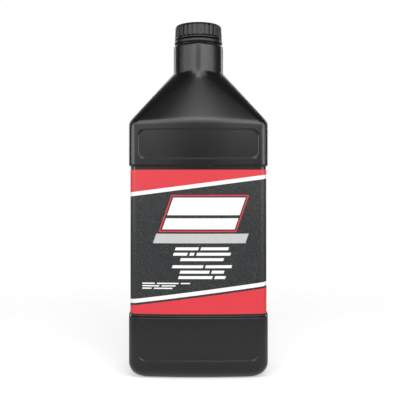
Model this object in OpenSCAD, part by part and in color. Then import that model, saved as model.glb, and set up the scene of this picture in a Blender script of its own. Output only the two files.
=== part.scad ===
// Empty one-quart oil bottle: a blow-moulded body with a screw cap and a wrap-round label.
// Millimetres, +Z up. The origin is the middle of the base, and the front faces -Y.

/* [Body] */
// Width of the body across its two bands
body_w = 93.5; // [84:0.5:102]
// Depth of the body across its two bands, front to back
body_d = 64; // [56:0.5:74]
// Radius of the four upright corners
corner_r = 7; // [6:0.5:11]
// Radius of the gentle curve of the front and back faces
face_r = 360; // [180:10:600]
// Radius of the gentle curve of the two sides
side_r = 260; // [160:10:600]
// Thickness of the blown wall
wall = 1.1; // [0.8:0.1:2]
// Height of the foot, where the faces turn in to the base
foot_h = 10.8; // [8:0.1:14]
// How far the foot turns in
foot_in = 11; // [8:0.5:14]
// Height of the lower band above the foot
lower_band_h = 30.1; // [28:0.1:44]
// Height of the label panel between the bands
panel_h = 98.3; // [80:0.1:120]
// Height of the upper band below the shoulder edge
upper_band_h = 29.7; // [24:0.1:42]
// Depth of the label panel below the bands
panel_in = 1.2; // [0.8:0.1:2]
// Height of the shoulder
shoulder_h = 34.9; // [28:0.1:44]
// How far the shoulder edge falls from the middle of a face to its corners
edge_fall = 1.4; // [0:0.1:3]
// Length along each face of the rounding of the shoulder edge
edge_round = 1.9; // [1:0.1:3]

/* [Base] */
// Width of the ring that the bottle stands on
stand_w = 2.5; // [1.5:0.5:4]
// Width of the slope up to the middle of the base
push_w = 4; // [2:0.5:6]
// Height of the middle of the base above the standing ring
push_h = 3; // [1:0.5:5]

/* [Window panels] */
// Width of the shallow panel sunk in each band
window_w = 78; // [60:0.5:80]
// Height of the panel in the upper band
upper_window_h = 19; // [12:0.2:22]
// Height of the panel in the lower band
lower_window_h = 25.2; // [16:0.1:26]
// Radius of the corners of the panels
window_r = 4.5; // [2:0.5:7]
// Depth of the panels
window_in = 0.5; // [0.3:0.05:0.8]

/* [Neck] */
// Radius of the neck collar below the cap
collar_r = 16.95; // [16.5:0.05:18]
// Height of the neck collar
collar_h = 18.3; // [12:0.2:26]
// How far the foot of the collar falls from its sides to its front
collar_fall = 2; // [0:0.1:2.5]
// Radius of the rounded top edge of the collar
collar_round = 1.8; // [1:0.1:2.4]
// Radius of the threaded neck at the root of its thread
neck_r = 12.7; // [12.2:0.05:12.9]
// Height of the threaded neck above the collar
neck_h = 11.7; // [11.4:0.1:14]
// Radius of the mouth
mouth_r = 10.6; // [9:0.1:11]
// How far the bead that holds the ring stands out from the neck
bead_out = 1.6; // [1.3:0.05:1.7]

/* [Thread] */
// Rise of the thread in one turn
pitch = 4.233; // [4:0.001:4.6]
// Height of the neck thread above its root
thread_out = 1.1; // [0.8:0.05:1.15]
// Turns of the neck thread
thread_turns = 1.1; // [0.8:0.05:1.15]
// Width of a thread at its crest
thread_crest = 1.0; // [0.6:0.05:1.1]
// Width that a thread gains between its crest and its root
thread_flank = 1.1; // [0.6:0.1:1.2]
// Gap between the loaded flanks of the two threads
flank_gap = 0.15; // [0.1:0.01:0.25]

/* [Cap] */
// Thickness of the cap's skirt behind its ribs
skirt_t = 1.55; // [1:0.05:1.7]
// Gap between the thread's crest and the inside of the skirt
skirt_gap = 0.3; // [0.2:0.05:0.4]
// How far the cap narrows from its rim to its crown
cap_draft = 0.35; // [0:0.05:0.5]
// How far the ribs stand out
rib_out = 0.5; // [0.3:0.05:0.7]
// Number of ribs round the cap
rib_count = 30; // [20:1:40]
// Height of the plain rim below the ribs
rim_h = 1.5; // [1:0.1:2.5]
// Thickness of the cap's top
cap_top_t = 1.4; // [1.2:0.1:2.5]
// Height of the rounded crown edge
crown_h = 2.3; // [1.5:0.1:2.8]
// Width of the rounded crown edge
crown_w = 3.2; // [2:0.1:4]
// Thickness of the foam disc in the cap
liner_t = 1; // [0.6:0.1:1.6]

/* [Tamper ring] */
// Height of the ring left on the neck
ring_h = 3.2; // [3:0.1:3.4]
// How far the ring stands out past the cap's rim
ring_out = 0.25; // [0:0.05:0.5]
// Gap between the ring and the cap's rim
ring_gap = 0.5; // [0.4:0.05:0.8]
// Thickness of the hook under the bead
hook_t = 1.6; // [1.4:0.1:1.8]

/* [Label] */
// Bare strip of the panel below the label
label_low_gap = 1.9; // [1:0.1:10]
// Bare strip of the panel above the label
label_top_gap = 2.7; // [1:0.1:10]
// Thickness of the label film
label_t = 0.2; // [0.1:0.05:0.4]
// Thickness of a printed colour field
ink_t = 0.06; // [0.04:0.01:0.1]
// Gap between the label's two ends at the back
seam_w = 0.4; // [0.2:0.1:1]
// Slope of the printed stripes
stripe_slope = 0.13; // [0.05:0.01:0.2]
// Width of the printed stripes
stripe_w = 2.6; // [2:0.1:5]

/* [Hidden] */
$fn = 96;

// Steps along the arcs of the plan: a face, a corner, a side
face_n = 10;
corner_n = 9;
side_n = 6;
// Steps up the rounded stretches of the body
foot_n = 6;
ledge_n = 4;
edge_n = 4;
// Shape of the foot's turn: 2 is an ellipse, 1 a straight slope
foot_p = 2;

// Heights of the levels, from the base up
lower_top_z = foot_h + lower_band_h;
panel_top_z = lower_top_z + panel_h;
edge_z = panel_top_z + upper_band_h;
collar_z = edge_z + shoulder_h;
collar_top_z = collar_z + collar_h;
mouth_z = collar_top_z + neck_h;
cap_top_z = mouth_z + liner_t + cap_top_t;
cap_low_z = collar_top_z + ring_h + ring_gap;
label_low_z = lower_top_z + label_low_gap;
label_top_z = panel_top_z - label_top_gap;

// Share of each band's height at which its sunk panel has its middle
lower_window_at = 0.482;
upper_window_at = 0.475;

// Length by which a cutting shape runs past what it cuts
past = 5;

// Heights of the soft step at each end of the label panel
lower_ledge_h = 1.6;
upper_ledge_h = 1.4;

// The base, from its middle out to the foot
push_in = foot_in + stand_w + push_w;
// Share of the corner radius that is left at the middle of the base
base_corner = 0.7;
// The inside of the shoulder lies this share of the wall below the outside
shoulder_drop = 0.35 * wall;
// Share of the shoulder's slope by which it runs on into the collar
run_on = 0.04;
// How far the collar reaches down into the shoulder
collar_root = 4;
collar_wall = 1.4;

// Radii of the cap, outwards
thread_r = neck_r + thread_out;
skirt_in_r = thread_r + skirt_gap;
skirt_r = skirt_in_r + skirt_t;
cap_r = skirt_r + rib_out;
cap_thread_r = neck_r + 0.25;
liner_r = skirt_in_r - 0.5;
ring_r = cap_r + ring_out;
bead_r = neck_r + bead_out;
bead_z = collar_top_z + hook_t + 0.3;
bead_h = 1.3;
hook_r = bead_r - 0.5;
// How far the ring's narrow foot stands out past the bead
ring_foot = 0.4;

// Heights of the middle of the neck thread and of the cap thread at their lower ends
thread_top_gap = 1.8;
neck_thread_z = mouth_z - thread_top_gap - pitch * thread_turns;
flank_slope = thread_flank / 2 / thread_out;
threads_apart = thread_crest + flank_slope * (thread_r - cap_thread_r) + flank_gap;
cap_thread_z = neck_thread_z - threads_apart;
// Room that the cap thread keeps from the cap's rim and from the foam disc
cap_thread_end = 1.6;
cap_thread_from = 360 * (cap_low_z + cap_thread_end - cap_thread_z) / pitch;
cap_thread_to = 360 * (mouth_z - cap_thread_end - cap_thread_z) / pitch;
thread_step = 10;
thread_root = 0.4;
// Turn over which a thread grows from its end to its full height
thread_lead = 40;

// Colours of the pieces
body_colour = "#2c2d2f";
cap_colour = "#242527";
foam_colour = "#e9e6dc";
film_colour = "#1d2021";
red_ink = "#d8323c";
white_ink = "#f2f2f0";
silver_ink = "#c2c4c4";

// Half the angle that the front spans, and half the angle that a side spans, in the plan
function spans(w, d, r, fr, sr, a = 0, b = 0, n = 9) =
    n == 0 ? [a, b] :
    spans(w, d, r, fr, sr,
        asin((w / 2 - sr + (sr - r) * cos(b)) / (fr - r)),
        asin((d / 2 - fr + (fr - r) * cos(a)) / (sr - r)), n - 1);

// Points along an arc, without its last one
function arc(c, r, from, to, n) =
    [for (i = [0 : n - 1]) let (t = from + (to - from) * i / n) c + r * [cos(t), sin(t)]];

// A plan of four gently curved faces joined by corner arcs, where s is its spans
function plan(w, d, r, fr, sr, s) =
    let (cx = (fr - r) * sin(s[0]), cy = (sr - r) * sin(s[1]), f = fr - d / 2, e = sr - w / 2)
    concat(
        arc([0, f], fr, -90 - s[0], -90 + s[0], face_n),
        arc([cx, -cy], r, -90 + s[0], -s[1], corner_n),
        arc([-e, 0], sr, -s[1], s[1], side_n),
        arc([cx, cy], r, s[1], 90 - s[0], corner_n),
        arc([0, -f], fr, 90 - s[0], 90 + s[0], face_n),
        arc([-cx, cy], r, 90 + s[0], 180 - s[1], corner_n),
        arc([e, 0], sr, 180 - s[1], 180 + s[1], side_n),
        arc([-cx, -cy], r, 180 + s[1], 270 - s[0], corner_n));

body_spans = spans(body_w, body_d, corner_r, face_r, side_r);

// The body's plan, set in by a distance smaller than the corner radius
function body_plan(inset) = plan(body_w - 2 * inset, body_d - 2 * inset, corner_r - inset,
    face_r - inset, side_r - inset, body_spans);

// The plan of the foot and base, whose corners tighten less than they are set in
function foot_plan(inset, t) =
    let (r = (corner_r - t) * (1 - (1 - base_corner) * (inset - t) / (push_in - t)),
        w = body_w - 2 * inset, d = body_d - 2 * inset, fr = face_r - inset, sr = side_r - inset)
    plan(w, d, r, fr, sr, spans(w, d, r, fr, sr));

// A round plan with its points where the body's plan has the same directions
function round_plan(r) = plan(2 * r, 2 * r, r, r, r, body_spans);

function level(points, z) = [for (p = points) [p.x, p.y, z]];

// Insets and heights up a soft step
function ledge(z, h, from, to, t) =
    [for (i = [0 : ledge_n]) let (s = (1 - cos(180 * i / ledge_n)) / 2)
        [t + from + (to - from) * s, z + h * i / ledge_n]];

// Rings of the base and foot, for the outside (t = 0) or the inside (t = wall)
function base_rings(t) = concat(
    [level(foot_plan(push_in, t), push_h + t), level(foot_plan(foot_in + stand_w, t), t)],
    [for (i = [0 : foot_n - 1]) let (u = 90 * i / foot_n)
        level(foot_plan(t + (foot_in - t) * (1 - pow(sin(u), 2 / foot_p)), t),
            t + (foot_h - t) * (1 - pow(cos(u), 2 / foot_p)))],
    [level(body_plan(t), foot_h)]);

// Rings of the bands and of the label panel between them
function side_rings(t) =
    [for (p = concat(
        ledge(lower_top_z - lower_ledge_h / 2, lower_ledge_h, 0, panel_in, t),
        ledge(panel_top_z - upper_ledge_h / 2, upper_ledge_h, panel_in, 0, t)))
        level(body_plan(p[0]), p[1])];

// Rings of the rounded shoulder edge, and the end of the shoulder inside the collar
function shoulder_rings(t, drop) =
    let (low = [for (p = body_plan(t))
            [p.x, p.y, edge_z - drop - edge_fall * pow(2 * p.x / body_w, 2)]],
        r = collar_r - (t == 0 ? 0 : collar_wall),
        top = [for (p = round_plan(r)) [p.x, p.y, collar_z - drop - collar_fall * pow(p.y / r, 2)]])
    concat(
        [for (i = [0 : edge_n]) let (u = i / edge_n)
            [for (k = [0 : len(low) - 1]) let (
                p = low[k],
                a = p - [0, 0, edge_round],
                b = p + edge_round * (top[k] - p) / norm(top[k] - p))
                (1 - u) * (1 - u) * a + 2 * u * (1 - u) * p + u * u * b]],
        [[for (k = [0 : len(low) - 1]) low[k] + (1 + run_on) * (top[k] - low[k])]]);

// A closed skin over rings that have their points in the same directions
module skin(rings) {
    n = len(rings[0]);
    top = len(rings) - 1;
    polyhedron(
        points = [for (r = rings) each r],
        faces = concat(
            [[for (i = [0 : n - 1]) i]],
            [for (k = [0 : top - 1], i = [0 : n - 1]) let (j = (i + 1) % n)
                each [[k * n + i, (k + 1) * n + i, (k + 1) * n + j], [k * n + i, (k + 1) * n + j, k * n + j]]],
            [[for (i = [n - 1 : -1 : 0]) top * n + i]]),
        convexity = 8);
}

module body_skin(t, drop) {
    skin(concat(base_rings(t), side_rings(t), shoulder_rings(t, drop)));
}

// A rectangle with round corners, in the plane of a face, run through the bottle from front to back
module window_shape(w, h) {
    rotate([90, 0, 0])
        linear_extrude(body_d + 2 * past, center = true)
            polygon([for (c = [[1, 1, 0], [-1, 1, 90], [-1, -1, 180], [1, -1, 270]])
                each [for (t = [0 : 15 : 90])
                    [c[0] * (w / 2 - window_r), c[1] * (h / 2 - window_r)]
                        + window_r * [cos(c[2] + t), sin(c[2] + t)]]]);
}

// The two sunk panels of one face
module windows() {
    lower_z = foot_h + lower_band_h * lower_window_at;
    upper_z = panel_top_z + upper_band_h * upper_window_at;
    intersection() {
        union() {
            translate([0, 0, lower_z]) window_shape(window_w, lower_window_h);
            translate([0, 0, upper_z]) window_shape(window_w, upper_window_h);
        }
        translate([0, face_r - body_d / 2, 0]) difference() {
            translate([0, 0, foot_h]) cylinder(r = face_r + past, h = edge_z - foot_h, $fn = 360);
            cylinder(r = face_r - window_in, h = edge_z + past, $fn = 360);
        }
        translate([-body_w / 2, -body_d / 2 - past, 0]) cube([body_w, body_d / 2, edge_z]);
    }
}

// The cross-section of a thread at an angle, with its foot sunk into the wall that carries it
function thread_section(root_r, crest_r, angle, z, grow) =
    let (r = root_r + (crest_r - root_r) * grow, c = thread_crest / 2,
        f = c + flank_slope * (abs(crest_r - root_r) + thread_root),
        e = root_r + (root_r > crest_r ? thread_root : -thread_root))
    [for (p = [[e, -f], [r, -c], [r, c], [e, f]]) [p[0] * cos(angle), p[0] * sin(angle), z + p[1]]];

// A helical thread between two radii and two angles, which tapers off at both ends: z is its height at angle 0
module thread(root_r, crest_r, z, from, to) {
    steps = round((to - from) / thread_step);
    rings = [for (i = [0 : steps]) let (a = from + (to - from) * i / steps, left = min(a - from, to - a))
        thread_section(root_r, crest_r, a, z + pitch * a / 360, min(1, 0.1 + 0.9 * left / thread_lead))];
    n = len(rings[0]);
    inwards = root_r > crest_r;
    faces = concat(
        [[for (i = [0 : n - 1]) i]],
        [for (k = [0 : steps - 1], i = [0 : n - 1]) let (j = (i + 1) % n)
            each [[k * n + i, (k + 1) * n + i, (k + 1) * n + j], [k * n + i, (k + 1) * n + j, k * n + j]]],
        [[for (i = [n - 1 : -1 : 0]) steps * n + i]]);
    polyhedron(
        points = [for (r = rings) each r],
        faces = inwards ? faces : [for (f = faces) [for (i = [len(f) - 1 : -1 : 0]) f[i]]],
        convexity = 8);
}

// The collar and threaded neck, up to the mouth
module neck() {
    rotate_extrude()
        polygon(concat(
            [[0, collar_z - collar_root], [collar_r, collar_z - collar_root]],
            [for (t = [0 : 15 : 90])
                [collar_r - collar_round * (1 - cos(t)), collar_top_z - collar_round * (1 - sin(t))]],
            [[neck_r, collar_top_z], [neck_r, bead_z], [bead_r, bead_z + 0.2],
                [bead_r, bead_z + bead_h - 0.6], [neck_r, bead_z + bead_h],
                [neck_r, mouth_z - 0.4], [neck_r - 0.4, mouth_z], [0, mouth_z]]));
    thread(neck_r, thread_r, neck_thread_z, 0, 360 * thread_turns);
}

// The hollow of the collar and the mouth above it
module neck_bore() {
    hollow_r = collar_r - collar_wall;
    low = collar_z - shoulder_drop - collar_fall;
    rotate_extrude()
        polygon([[0, low], [hollow_r, low],
            [hollow_r, collar_top_z - wall - 2.6], [mouth_r, collar_top_z - wall + 0.6],
            [mouth_r, mouth_z + 1], [0, mouth_z + 1]]);
}

module bottle() {
    color(body_colour) difference() {
        union() {
            body_skin(0, 0);
            neck();
        }
        body_skin(wall, shoulder_drop);
        neck_bore();
        windows();
        rotate([0, 0, 180]) windows();
    }
}

// Half-profile of the plain cap, where out is how far it stands out past the skirt
function cap_profile(out) = concat(
    [[0, cap_low_z], [skirt_r + out - 0.3, cap_low_z], [skirt_r + out, cap_low_z + 0.3]],
    [for (t = [0 : 15 : 90])
        [skirt_r + out - cap_draft - crown_w * (1 - cos(t)), cap_top_z - crown_h * (1 - sin(t))]],
    [[0, cap_top_z]]);

module cap() {
    rib_low_z = cap_low_z + rim_h;
    rib_angle = 180 / rib_count;
    color(cap_colour) {
        difference() {
            union() {
                rotate_extrude() polygon(cap_profile(0));
                rotate_extrude()
                    polygon([[0, cap_low_z], [cap_r - 0.3, cap_low_z], [cap_r, cap_low_z + 0.3],
                        [cap_r, rib_low_z - 0.5], [skirt_r - 0.2, rib_low_z], [0, rib_low_z]]);
                for (i = [0 : rib_count - 1])
                    rotate([0, 0, i * 360 / rib_count - rib_angle / 2 - 90])
                        rotate_extrude(angle = rib_angle)
                            polygon([[skirt_r - 0.8, rib_low_z + 0.3], [cap_r - 0.1, rib_low_z + 0.3],
                                [cap_r - cap_draft, cap_top_z - crown_h],
                                [cap_r - cap_draft - 0.6, cap_top_z - crown_h * 0.45],
                                [skirt_r - cap_draft - 1.2, cap_top_z - crown_h * 0.45]]);
            }
            translate([0, 0, cap_low_z - 1]) cylinder(r = skirt_in_r, h = mouth_z + liner_t - cap_low_z + 1);
        }
        thread(skirt_in_r, cap_thread_r, cap_thread_z, cap_thread_from, cap_thread_to);
    }
}

module cap_liner() {
    color(foam_colour) translate([0, 0, mouth_z]) cylinder(r = liner_r, h = liner_t);
}

module tamper_ring() {
    color(cap_colour) rotate_extrude()
        polygon([[hook_r, collar_top_z], [bead_r + ring_foot, collar_top_z], [bead_r + ring_foot, collar_top_z + 0.6],
            [ring_r - 0.3, collar_top_z + 0.8], [ring_r, collar_top_z + 1.2], [ring_r, collar_top_z + ring_h - 0.5],
            [ring_r - 0.4, collar_top_z + ring_h], [bead_r + 0.3, collar_top_z + ring_h],
            [bead_r + 0.3, collar_top_z + hook_t + 0.2], [hook_r, collar_top_z + hook_t - 0.2]]);
}

// A film that follows the label panel, between two distances from its surface
module film(from, to) {
    difference() {
        translate([0, 0, label_low_z]) linear_extrude(label_top_z - label_low_z) difference() {
            polygon(body_plan(panel_in - to));
            polygon(body_plan(panel_in - from));
        }
        translate([-seam_w / 2, 0, 0]) cube([seam_w, body_d, edge_z]);
    }
}

module label() {
    color(film_colour) film(0, label_t);
}

// A flat printed shape, given by points of width and height, laid on the label all the way round
module field(points) {
    intersection() {
        film(label_t, label_t + ink_t);
        rotate([90, 0, 0]) linear_extrude(body_d + 2 * past, center = true) polygon(points);
    }
}

// The same, on the front alone
module front_field(points) {
    intersection() {
        field(points);
        translate([-body_w / 2, -body_d / 2 - 1, 0]) cube([body_w, body_d / 2, edge_z]);
    }
}

// A slanted bar with its lower left corner at x, z
bar_lean = 0.35;
function bar(x, z, w, h) = let (lean = bar_lean * h)
    [[x, z], [x + w, z], [x + w + lean, z + h], [x + lean, z + h]];

// A stripe that climbs to the right, from z at the middle, w high
function stripe(z, w) = let (x = body_w, rise = stripe_slope * x)
    [[-x, z - rise], [x, z + rise], [x, z + rise + w], [-x, z - rise + w]];

// Middle height of the head field's lower edge and of the foot field's upper edge
head_z = label_top_z - 9;
foot_z = label_low_z + 11;
foot_stripe_gap = 1.4;
// The slanted plate: a wide bar over a narrow one, in a thin frame
plate_x = -23.5;
plate_z = label_low_z + 55;
plate_w = 47;
plate_low_h = 7.2;
plate_gap = 2;
plate_high_h = 11.4;
frame_gap = 0.9;
frame_t = 0.8;
// The silver strip below it
strip_x = -29.5;
strip_z = plate_z - 9;
strip_w = 60;
strip_h = 6.2;
// Rows of dashes below the strip, each row centred, and its dashes' lengths
row_x = 2;
row_h = 1.9;
dash_gap = 1.5;
row_tops = [strip_z - 2.6, strip_z - 6.1, strip_z - 9.6, strip_z - 14.2, strip_z - 17.7, strip_z - 21.2];
row_dashes = [[15, 18], [9, 3, 22], [28], [20, 17], [19, 8], [22, 7]];
// Fine rows at the lower left
fine_x = -36.5;
fine_h = 0.8;
fine_tops = [strip_z - 25.6, strip_z - 27.2, strip_z - 28.8];
fine_dashes = [[8, 14, 6], [11, 9], [6, 12]];

function total(v, i = 0) = i < len(v) ? v[i] + total(v, i + 1) : 0;

// A frame of one thickness round the slanted plate
module plate_frame() {
    h = plate_low_h + plate_gap + plate_high_h;
    difference() {
        front_field(grown_bar(plate_x, plate_z, plate_w, h, frame_gap + frame_t));
        rotate([90, 0, 0]) linear_extrude(body_d + 2 * past, center = true)
            polygon(grown_bar(plate_x, plate_z, plate_w, h, frame_gap));
    }
}

// A slanted bar grown by a distance on every side
function grown_bar(x, z, w, h, by) = bar(x - by * 1.4, z - by, w + 2 * by, h + 2 * by);

// A row of slanted dashes from x, below z
module dashes(x, z, lengths, h, i = 0) {
    if (i < len(lengths)) {
        front_field(bar(x, z - h, lengths[i], h));
        dashes(x + lengths[i] + dash_gap, z, lengths, h, i + 1);
    }
}

module label_red_print() {
    rise = stripe_slope * body_w;
    high = label_top_z + rise + past;
    low = label_low_z - rise - past;
    color(red_ink) {
        field([[-body_w, head_z - rise], [body_w, head_z + rise], [body_w, high], [-body_w, high]]);
        field([[-body_w, foot_z - rise], [-body_w, low], [body_w, low], [body_w, foot_z + rise]]);
        plate_frame();
    }
}

module label_white_print() {
    color(white_ink) {
        field(stripe(head_z - stripe_w, stripe_w));
        field(stripe(foot_z + foot_stripe_gap, stripe_w));
        front_field(bar(plate_x, plate_z, plate_w, plate_low_h));
        high = plate_low_h + plate_gap;
        front_field(bar(plate_x + bar_lean * high, plate_z + high, plate_w, plate_high_h));
        for (i = [0 : len(row_dashes) - 1])
            let (w = total(row_dashes[i]) + dash_gap * (len(row_dashes[i]) - 1))
                dashes(row_x - w / 2, row_tops[i], row_dashes[i], row_h);
        for (i = [0 : len(fine_dashes) - 1]) dashes(fine_x, fine_tops[i], fine_dashes[i], fine_h);
    }
}

module label_silver_print() {
    color(silver_ink) front_field(bar(strip_x, strip_z, strip_w, strip_h));
}

bottle();
cap();
cap_liner();
tamper_ring();
label();
label_red_print();
label_white_print();
label_silver_print();
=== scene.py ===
"""Looks of an empty one-quart oil bottle: blown body, screw cap, foam disc, ring and printed label."""

import logging
import math
from dataclasses import dataclass
from enum import Enum
from functools import cached_property
from typing import Sequence

import bmesh
import bpy
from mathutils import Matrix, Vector


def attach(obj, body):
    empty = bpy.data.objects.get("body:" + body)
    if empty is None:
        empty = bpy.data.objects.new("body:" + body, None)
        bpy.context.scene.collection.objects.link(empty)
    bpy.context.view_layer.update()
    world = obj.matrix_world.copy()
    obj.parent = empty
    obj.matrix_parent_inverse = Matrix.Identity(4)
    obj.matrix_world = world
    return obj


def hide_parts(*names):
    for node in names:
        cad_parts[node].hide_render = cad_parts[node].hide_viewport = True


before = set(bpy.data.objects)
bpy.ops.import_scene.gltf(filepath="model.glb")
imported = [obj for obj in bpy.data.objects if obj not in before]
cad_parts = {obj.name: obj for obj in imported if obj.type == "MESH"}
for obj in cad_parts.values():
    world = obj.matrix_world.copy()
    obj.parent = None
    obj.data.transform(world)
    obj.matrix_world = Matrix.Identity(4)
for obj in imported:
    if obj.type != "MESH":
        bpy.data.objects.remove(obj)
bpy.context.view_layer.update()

LOG = logging.getLogger("oil_bottle")

MM = 0.001
BAR_LEAN = 0.35
WHITE = (1, 1, 1, 1)

Rings = list[list[Vector]]
Profile = list[tuple[float, float]]


class Finish(Enum):
    """The record's material slots."""

    BODY = "body_plastic"
    CAP = "cap_plastic"
    FOAM = "liner_foam"
    FILM = "label_film"
    RED = "red_ink"
    WHITE = "white_ink"
    SILVER = "silver_ink"


class Body(Enum):
    """The bodies that move apart."""

    BOTTLE = "bottle_body"
    CAP = "cap_body"


Looks = dict[Finish, bpy.types.Material]


def smoothstep(low: float, high: float, value: float) -> float:
    """Rises smoothly from 0 at low to 1 at high.

    Args:
        low: Where the rise starts.
        high: Where the rise ends.
        value: Where it is read.

    Returns:
        A share between 0 and 1.
    """
    t = min(1.0, max(0.0, (value - low) / (high - low)))
    return t * t * (3.0 - 2.0 * t)


def spread(low: float, high: float, count: int) -> list[float]:
    """Even steps from low up to, but not including, high."""
    return [low + (high - low) * i / count for i in range(count)]


def quarter(steps: int) -> list[tuple[float, float]]:
    """Sine and cosine over a quarter turn, both ends included."""
    turns = [math.pi / 2 * i / steps for i in range(steps + 1)]
    return [(math.sin(turn), math.cos(turn)) for turn in turns]


def mix(a: Vector, b: Vector, t: float) -> Vector:
    """The point a share t of the way from a to b."""
    return a + (b - a) * t


def bezier(a: Vector, b: Vector, c: Vector, t: float) -> Vector:
    """A point on the curve from a to c that is pulled towards b."""
    return mix(mix(a, b, t), mix(b, c, t), t)


@dataclass(frozen=True)
class Station:
    """One of the points round every ring of a skin.

    Attributes:
        arc: Which of the eight arcs of the plan it lies on, from the front face round to the right.
        share: How far along that arc it lies, from 0 to 1.
    """

    arc: int
    share: float


@dataclass(frozen=True)
class Plan:
    """A plan of four gently curved faces joined by corner arcs, in millimetres.

    Attributes:
        width: Size across the sides.
        depth: Size from front to back.
        corner: Radius of the corners.
        face: Radius of the front and back.
        side: Radius of the sides.
    """

    width: float
    depth: float
    corner: float
    face: float
    side: float

    def spans(self) -> tuple[float, float]:
        """Half the angle that the front spans, and half the angle that a side spans."""
        front, flank = 0.0, 0.0
        for _ in range(9):
            across = self.width / 2 - self.side + (self.side - self.corner) * math.cos(flank)
            along = self.depth / 2 - self.face + (self.face - self.corner) * math.cos(front)
            front = math.asin(across / (self.face - self.corner))
            flank = math.asin(along / (self.side - self.corner))
        return front, flank

    def points(self, stations: Sequence[Station], spans: tuple[float, float] | None = None) -> list[Vector]:
        """Where the stations lie on this plan.

        Args:
            stations: The points to place.
            spans: The half angles of the front and the sides, or None for the plan's own.

        Returns:
            One flat point for each station.
        """
        front, flank = spans or self.spans()
        right = math.pi / 2
        cx = (self.face - self.corner) * math.sin(front)
        cy = (self.side - self.corner) * math.sin(flank)
        fy = self.face - self.depth / 2
        sx = self.side - self.width / 2
        arcs = [
            ((0, fy), self.face, -right - front, -right + front),
            ((cx, -cy), self.corner, -right + front, -flank),
            ((-sx, 0), self.side, -flank, flank),
            ((cx, cy), self.corner, flank, right - front),
            ((0, -fy), self.face, right - front, right + front),
            ((-cx, cy), self.corner, right + front, math.pi - flank),
            ((sx, 0), self.side, math.pi - flank, math.pi + flank),
            ((-cx, -cy), self.corner, math.pi + flank, math.pi + right - front),
        ]
        placed = []
        for station in stations:
            (x, y), radius, start, end = arcs[station.arc]
            angle = start + (end - start) * station.share
            placed.append(Vector((x + radius * math.cos(angle), y + radius * math.sin(angle), 0)))
        return placed


@dataclass(frozen=True)
class BodySizes:
    """Sizes of the blown body, the neck and the thread, in millimetres.

    They are the solids' own, but for a rounder shoulder edge and a shoulder that meets the collar lower.
    """

    width: float = 93.5
    depth: float = 64.0
    corner: float = 7.0
    face: float = 360.0
    side: float = 260.0
    wall: float = 1.1
    foot_h: float = 10.8
    foot_in: float = 11.0
    foot_power: float = 2.0
    base_corner: float = 0.7
    stand_w: float = 2.5
    push_w: float = 4.0
    push_h: float = 3.0
    lower_band_h: float = 30.1
    panel_h: float = 98.3
    upper_band_h: float = 29.7
    panel_in: float = 1.2
    lower_ledge_h: float = 1.6
    upper_ledge_h: float = 1.4
    shoulder_h: float = 34.9
    edge_fall: float = 1.4
    edge_round: float = 2.3
    window_w: float = 78.0
    upper_window_h: float = 19.0
    lower_window_h: float = 25.2
    upper_window_at: float = 0.475
    lower_window_at: float = 0.482
    window_r: float = 4.5
    window_in: float = 0.5
    collar_r: float = 16.95
    collar_h: float = 18.3
    collar_fall: float = 2.0
    collar_sink: float = 0.9
    collar_round: float = 1.8
    collar_wall: float = 1.4
    neck_r: float = 12.7
    neck_h: float = 11.7
    mouth_r: float = 10.6
    bead_out: float = 1.6
    bead_low: float = 1.9
    bead_h: float = 1.3
    pitch: float = 4.233
    thread_out: float = 1.1
    thread_turns: float = 1.1
    thread_top_gap: float = 1.8
    thread_crest: float = 1.0
    thread_flank: float = 1.1
    thread_lead: float = 40.0
    label_low_gap: float = 1.9
    label_top_gap: float = 2.7
    label_t: float = 0.2
    ink_t: float = 0.06
    seam_w: float = 0.4

    @property
    def lower_top(self) -> float:
        """Height of the top of the lower band."""
        return self.foot_h + self.lower_band_h

    @property
    def panel_top(self) -> float:
        """Height of the top of the label panel."""
        return self.lower_top + self.panel_h

    @property
    def edge(self) -> float:
        """Height of the shoulder edge at the middle of a face."""
        return self.panel_top + self.upper_band_h

    @property
    def collar(self) -> float:
        """Height of the foot of the collar."""
        return self.edge + self.shoulder_h

    @property
    def collar_top(self) -> float:
        """Height of the top of the collar."""
        return self.collar + self.collar_h

    @property
    def mouth(self) -> float:
        """Height of the mouth."""
        return self.collar_top + self.neck_h

    @property
    def label_low(self) -> float:
        """Height of the label's lower edge."""
        return self.lower_top + self.label_low_gap

    @property
    def label_top(self) -> float:
        """Height of the label's upper edge."""
        return self.panel_top - self.label_top_gap

    @property
    def thread_low(self) -> float:
        """Height of the middle of the neck thread at its lower end."""
        return self.mouth - self.thread_top_gap - self.pitch * self.thread_turns

    def plan(self, inset: float) -> Plan:
        """The body's plan, set in by a distance."""
        return Plan(
            self.width - 2 * inset, self.depth - 2 * inset, self.corner - inset, self.face - inset, self.side - inset
        )

    def foot_plan(self, inset: float, wall: float) -> Plan:
        """The plan of the foot and base, whose corners tighten less than they are set in.

        Args:
            inset: How far it is set in from the body's outside.
            wall: 0 for the outside, or the wall's thickness for the inside.

        Returns:
            The plan at that inset.
        """
        reach = self.foot_in + self.stand_w + self.push_w
        corner = (self.corner - wall) * (1 - (1 - self.base_corner) * (inset - wall) / (reach - wall))
        return Plan(self.width - 2 * inset, self.depth - 2 * inset, corner, self.face - inset, self.side - inset)


def thread_height(angle: float, z: float, low: float, turns: tuple[float, float], sizes: BodySizes) -> float:
    """How much of its full height a thread has at a point of its wall.

    Args:
        angle: Direction of the point round the neck, in radians.
        z: Height of the point.
        low: Height of the thread's middle at angle 0.
        turns: Angles at which the thread starts and ends, in turns.
        sizes: The sizes that give the thread's section.

    Returns:
        A share between 0 and 1.
    """
    crest = sizes.thread_crest / 2
    foot = crest + sizes.thread_flank / 2
    best = 0.0
    turn = (angle / math.tau) % 1.0
    while turn <= turns[1]:
        if turn >= turns[0]:
            off = abs(z - low - sizes.pitch * turn)
            end = min(turn - turns[0], turns[1] - turn) * 360.0 / sizes.thread_lead
            best = max(best, (1 - smoothstep(crest * 0.8, foot, off)) * min(1.0, end))
        turn += 1.0
    return best


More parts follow.
